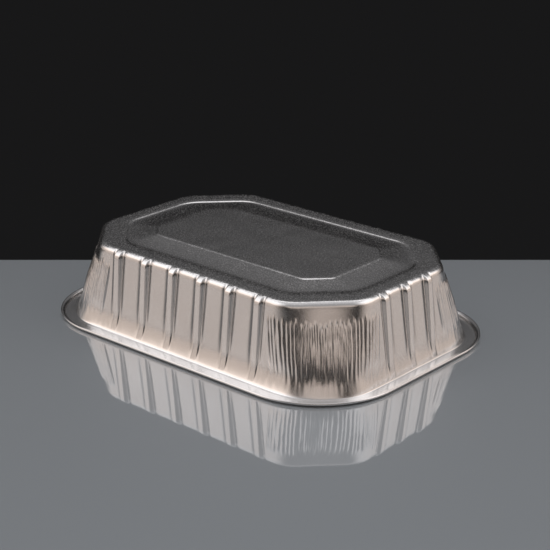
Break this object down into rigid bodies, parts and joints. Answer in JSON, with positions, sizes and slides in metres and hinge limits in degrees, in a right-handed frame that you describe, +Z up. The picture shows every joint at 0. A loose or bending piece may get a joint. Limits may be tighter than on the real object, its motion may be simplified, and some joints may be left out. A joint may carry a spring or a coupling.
{
  "type": "foil food container",
  "caption": "Shallow oblong container pressed from one sheet of foil: stepped base with cut corners, ribbed walls, gathered corners, flat flange and rolled rim, lying mouth down",
  "frame": {"origin": "the middle of the rim, on the plane that the rim lies on", "axes": "+X runs along the length, +Y across the width, +Z up from the mouth to the base, as the container lies upside down"},
  "size_m": [0.22, 0.158, 0.046],
  "materials": {
    "foil": "bare pressed aluminium foil, satin sheen with a very fine rolled grain"
  },
  "bodies": {
    "root": {"container": "foil"}
  },
  "joints": []
}
